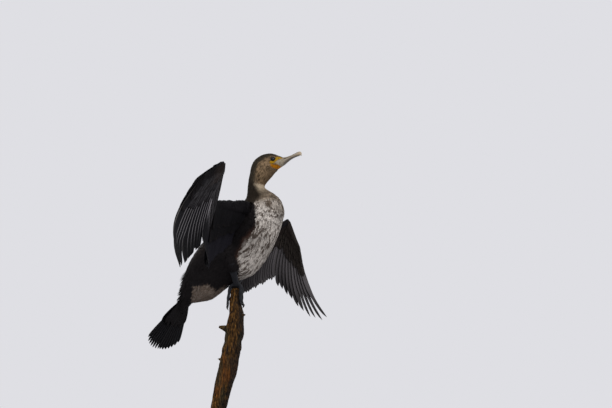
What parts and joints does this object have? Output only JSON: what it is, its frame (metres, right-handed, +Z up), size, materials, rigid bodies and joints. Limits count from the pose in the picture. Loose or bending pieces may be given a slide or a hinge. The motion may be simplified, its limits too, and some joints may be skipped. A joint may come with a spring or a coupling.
{
  "type": "cormorant, life-size display model",
  "caption": "Young great cormorant drying its wings on top of an upright dead branch, life-size, on a round display stand.",
  "frame": {"origin": "centre of the underside of the stand's round base", "axes": "+Z up, the bird's breast and bill face -Y, its right wing is on the -X side"},
  "size_m": [0.9621, 0.384, 0.6922],
  "materials": {
    "black_plumage": "satin black feathers with brown edges",
    "pale_underparts": "matt greyish white feathers mottled brown",
    "brown_neck": "matt olive-brown feathers",
    "horn": "satin horn",
    "eye": "wet gloss",
    "foot_skin": "satin blackish scaly skin",
    "wood": "weathered dead wood",
    "stand": "matt grey paint"
  },
  "bodies": {
    "root": {"torso": "pale_underparts", "neck_lower": "pale_underparts", "neck_upper": "brown_neck", "head": "brown_neck", "bill_upper": "horn", "bill_lower": "horn", "eye_right": "eye", "eye_left": "eye", "tail": "black_plumage", "thigh_right": "pale_underparts", "thigh_left": "pale_underparts", "shank_right": "foot_skin", "shank_left": "foot_skin", "foot_right": "foot_skin", "foot_left": "foot_skin", "perch": "wood", "stand_base": "stand", "stand_rod": "stand", "wing_arm_right": "black_plumage", "wing_forearm_right": "black_plumage", "wing_hand_right": "black_plumage", "wing_arm_left": "black_plumage", "wing_forearm_left": "black_plumage", "wing_hand_left": "black_plumage"}
  },
  "joints": []
}
